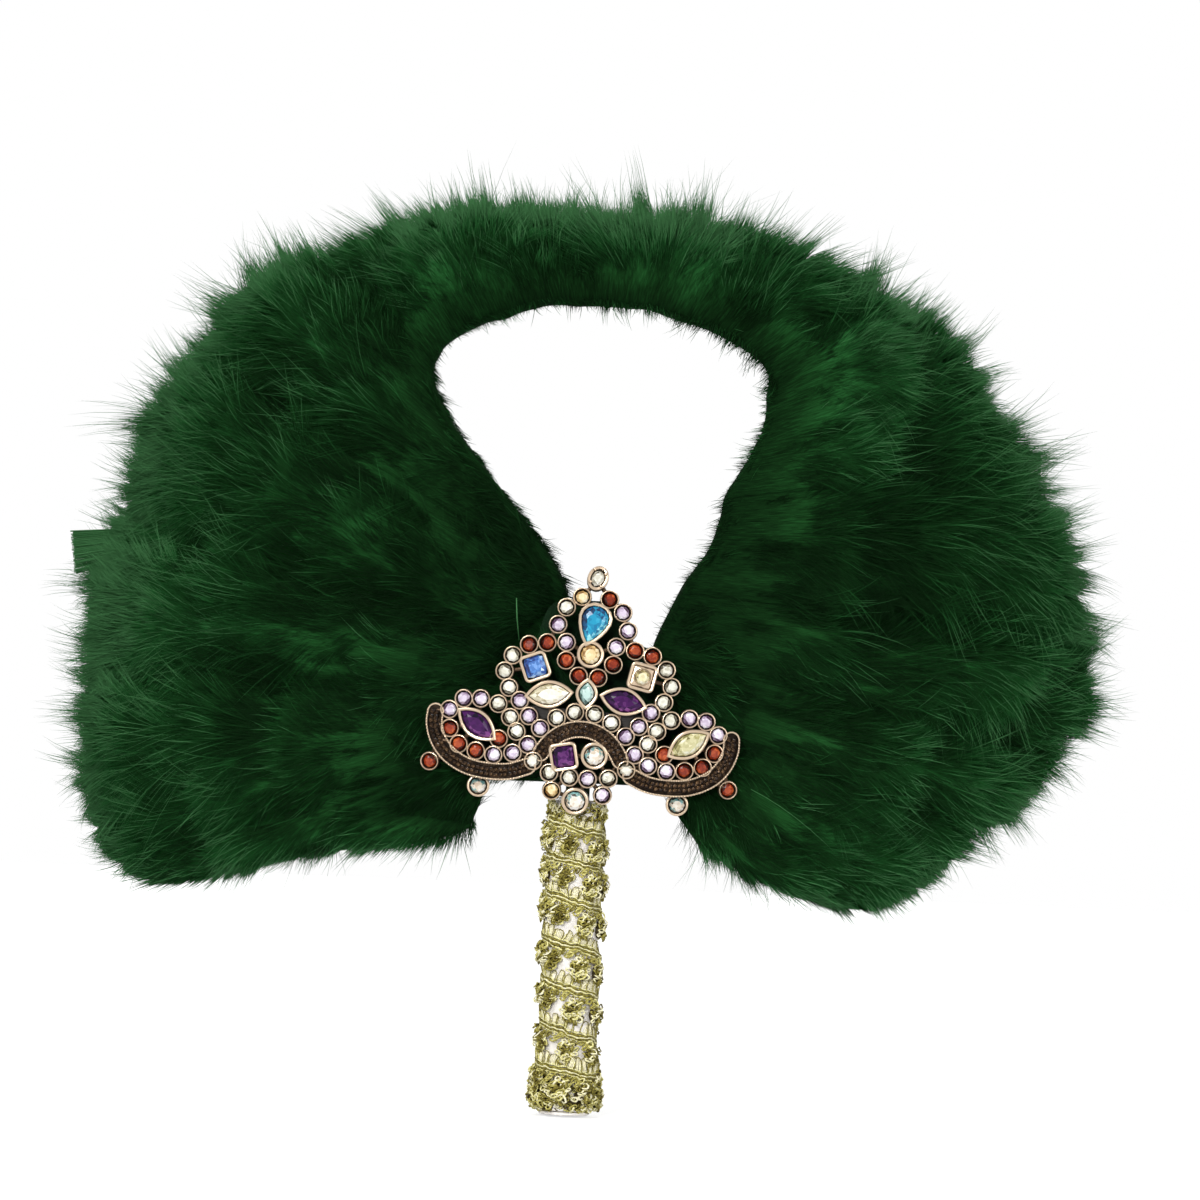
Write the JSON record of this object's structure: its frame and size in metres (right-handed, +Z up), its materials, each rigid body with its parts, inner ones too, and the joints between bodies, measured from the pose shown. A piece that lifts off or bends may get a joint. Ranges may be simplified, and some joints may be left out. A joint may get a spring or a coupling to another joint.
{
  "type": "feather fan",
  "caption": "Rigid hand fan: a horseshoe of down feathers round an open centre, a jewelled openwork brooch over the hub, and a straight satin handle wound with lace.",
  "frame": {"origin": "middle of the handle's lower end face", "axes": "+Z up along the handle to the brooch, the front with the brooch faces -Y, +X to the right as seen from the front"},
  "size_m": [0.356, 0.038, 0.3084],
  "materials": {
    "handle_wood": "bare turned dowel",
    "ivory_satin": "smooth ivory satin",
    "olive_gold_lace": "metallic gimp lace, olive gold",
    "board": "dyed stiff board, matte",
    "hub_cover": "dark green felt on card",
    "green_down": "dyed bottle-green down feathers, matte",
    "rose_gold_metal": "cast metal plated pale rose gold, polished",
    "pin_steel": "nickel-plated",
    "dark_stone": "smoky square cut glass, foiled",
    "clear_stone": "faceted clear glass, foiled, iridescent",
    "teal_stone": "faceted teal glass, foiled",
    "champagne_stone": "faceted champagne glass, foiled",
    "blue_stone": "faceted blue glass, foiled",
    "aqua_stone": "faceted aqua glass, foiled",
    "cream_stone": "faceted cream glass, foiled",
    "purple_stone": "faceted deep purple glass, foiled",
    "citrine_stone": "faceted citrine glass, foiled"
  },
  "bodies": {
    "fan": {"handle_core": "handle_wood", "tongue_pin_lower": "handle_wood", "tongue_pin_upper": "handle_wood", "satin_sleeve": "ivory_satin", "butt_disc": "ivory_satin", "lace_winding": "olive_gold_lace", "lace_butt_cuff": "olive_gold_lace", "horseshoe_board": "board", "hub_front_cover": "hub_cover", "hub_back_cover": "hub_cover", "front_tuft_01": "green_down", "front_tuft_02": "green_down", "front_tuft_03": "green_down", "front_tuft_04": "green_down", "front_tuft_05": "green_down", "front_tuft_06": "green_down", "front_tuft_07": "green_down", "front_tuft_08": "green_down", "front_tuft_09": "green_down", "front_tuft_10": "green_down", "front_tuft_11": "green_down", "front_tuft_12": "green_down", "front_tuft_13": "green_down", "front_tuft_14": "green_down", "back_tuft_01": "green_down", "back_tuft_02": "green_down", "back_tuft_03": "green_down", "back_tuft_04": "green_down", "back_tuft_05": "green_down", "back_tuft_06": "green_down", "back_tuft_07": "green_down", "brooch_casting": "rose_gold_metal", "tip_stone": "clear_stone", "teal_pear_stone": "teal_stone", "champagne_round_stone": "champagne_stone", "blue_square_stone": "blue_stone", "upper_iridescent_stone": "clear_stone", "aqua_marquise_stone": "aqua_stone", "cream_marquise_stone": "cream_stone", "purple_marquise_stone": "purple_stone", "left_purple_marquise_stone": "purple_stone", "citrine_marquise_stone": "citrine_stone", "purple_square_stone": "purple_stone", "iridescent_round_stone": "clear_stone", "bottom_iridescent_stone": "clear_stone", "left_channel_stones": "dark_stone", "middle_channel_stones": "dark_stone", "right_channel_stones": "dark_stone", "pin_bar": "pin_steel", "pin_rivet": "pin_steel"},
    "left_drop": {"left_drop_cup": "rose_gold_metal", "left_drop_stone": "clear_stone"},
    "right_drop": {"right_drop_cup": "rose_gold_metal", "right_drop_stone": "clear_stone"},
    "pin": {"pin_stem": "pin_steel"},
    "rotor": {"catch_rotor": "pin_steel"}
  },
  "joints": [
    {"name": "left_drop_swing", "type": "hinge", "parent": "fan", "child": "left_drop", "pos_m": [-0.03323, -0.00907, 0.11373], "axis": [0, 1, 0], "range_deg": [-20, 20]},
    {"name": "right_drop_swing", "type": "hinge", "parent": "fan", "child": "right_drop", "pos_m": [0.03323, -0.00907, 0.11013], "axis": [0, 1, 0], "range_deg": [-20, 20]},
    {"name": "pin_stem_swing", "type": "hinge", "parent": "fan", "child": "pin", "pos_m": [-0.01781, -0.0086, 0.13442], "axis": [0.0541, 0, 0.9985], "range_deg": [0, 4]},
    {"name": "catch_rotor_turn", "type": "hinge", "parent": "fan", "child": "rotor", "pos_m": [0.0189, -0.0086, 0.1324], "axis": [-0.9985, 0, 0.0541], "range_deg": [0, 90]}
  ]
}
